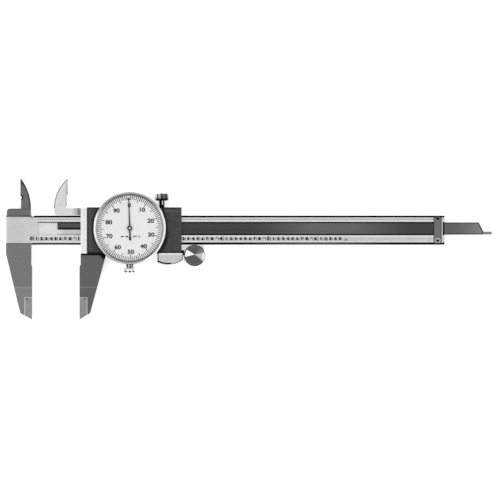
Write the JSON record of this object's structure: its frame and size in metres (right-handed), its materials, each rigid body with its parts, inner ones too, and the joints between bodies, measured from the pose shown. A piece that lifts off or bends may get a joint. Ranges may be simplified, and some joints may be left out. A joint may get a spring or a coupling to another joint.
{
  "type": "dial caliper",
  "caption": "Dial caliper with outside and inside jaws, a depth bar, a geared dial on the slider, a lock screw and a thumb roller.",
  "frame": {"origin": "on the needle's axis, at the flat back of the slider on which the caliper lies", "axes": "+X along the beam towards the depth bar's end, +Y towards the inside jaws, +Z out of the dial"},
  "size_m": [0.2605, 0.0761, 0.0147],
  "materials": {
    "head_steel": "satin ground",
    "slider_steel": "satin ground",
    "rack_steel": "machined",
    "dark_cover": "fine matt paint",
    "case_steel": "turned",
    "bezel_chrome": "satin chrome",
    "knob_chrome": "bright chrome",
    "roller_steel": "faced in rings",
    "bar_steel": "dark ground",
    "plate_steel": "satin",
    "screw_steel": "turned",
    "spring_steel": "polished",
    "gib_brass": "plain",
    "movement_brass": "satin",
    "dial_white": "matt print",
    "needle_black": "satin paint",
    "window_clear": "polished"
  },
  "bodies": {
    "beam": {"beam": "head_steel", "rack": "rack_steel", "rack_screws": "screw_steel", "end_plate": "plate_steel", "end_plate_screws": "screw_steel"},
    "slider": {"slider_body": "slider_steel", "gib_strip": "gib_brass", "gib_set_screws": "screw_steel", "front_cover": "dark_cover", "cover_screws": "screw_steel", "dial_case": "case_steel", "case_screws": "screw_steel", "bezel_snap_ring": "spring_steel", "movement_lower_plate": "movement_brass", "movement_pillars": "movement_brass", "movement_upper_plate": "movement_brass", "movement_screws": "screw_steel", "plate_fixing_screws": "screw_steel", "depth_bar": "bar_steel", "depth_bar_screws": "screw_steel", "roller_bracket": "slider_steel", "roller_bracket_screws": "screw_steel", "roller_axle": "screw_steel", "roller_clip": "spring_steel"},
    "pinion_arbor": {"rack_pinion": "screw_steel", "intermediate_gear": "movement_brass", "anti_backlash_gear": "movement_brass", "backlash_spring": "spring_steel"},
    "needle_arbor": {"center_pinion": "screw_steel", "needle": "needle_black"},
    "bezel": {"bezel_ring": "bezel_chrome", "crystal": "window_clear", "spacer_ring": "dial_white", "dial_plate": "dial_white", "dial_retaining_ring": "spring_steel"},
    "bezel_clamp": {"bezel_clamp_screw": "knob_chrome"},
    "lock": {"lock_screw": "knob_chrome"},
    "roller": {"thumb_roller": "roller_steel"}
  },
  "joints": [
    {"name": "slider_slide", "type": "slide", "parent": "beam", "child": "slider", "axis": [1, 0, 0], "range_m": [-0.02538, 0.1349]},
    {"name": "pinion_spin", "type": "hinge", "parent": "slider", "child": "pinion_arbor", "pos_m": [-0.00583, -0.00168, 0], "axis": [0, 0, 1], "continuous": true},
    {"name": "needle_spin", "type": "hinge", "parent": "slider", "child": "needle_arbor", "pos_m": [0, 0, 0], "axis": [0, 0, 1], "continuous": true},
    {"name": "roller_spin", "type": "hinge", "parent": "slider", "child": "roller", "pos_m": [0.03485, -0.01463, 0], "axis": [0, 0, 1], "continuous": true},
    {"name": "bezel_turn", "type": "hinge", "parent": "slider", "child": "bezel", "pos_m": [0, 0, 0], "axis": [0, 0, 1], "continuous": true},
    {"name": "bezel_clamp_turn", "type": "hinge", "parent": "slider", "child": "bezel_clamp", "pos_m": [0, 0, 0.011], "axis": [0, -1, 0], "range_deg": [-90, 270]},
    {"name": "lock_screw_turn", "type": "hinge", "parent": "slider", "child": "lock", "pos_m": [0.0172, 0, 0.0036], "axis": [0, 1, 0], "range_deg": [-240, 120]}
  ],
  "couplings": [
    {"joint": "pinion_spin", "follows": "slider_slide", "rad_per_m": 618.42},
    {"joint": "needle_spin", "follows": "slider_slide", "rad_per_m": -2473.7},
    {"joint": "roller_spin", "follows": "slider_slide", "rad_per_m": 173.01}
  ]
}
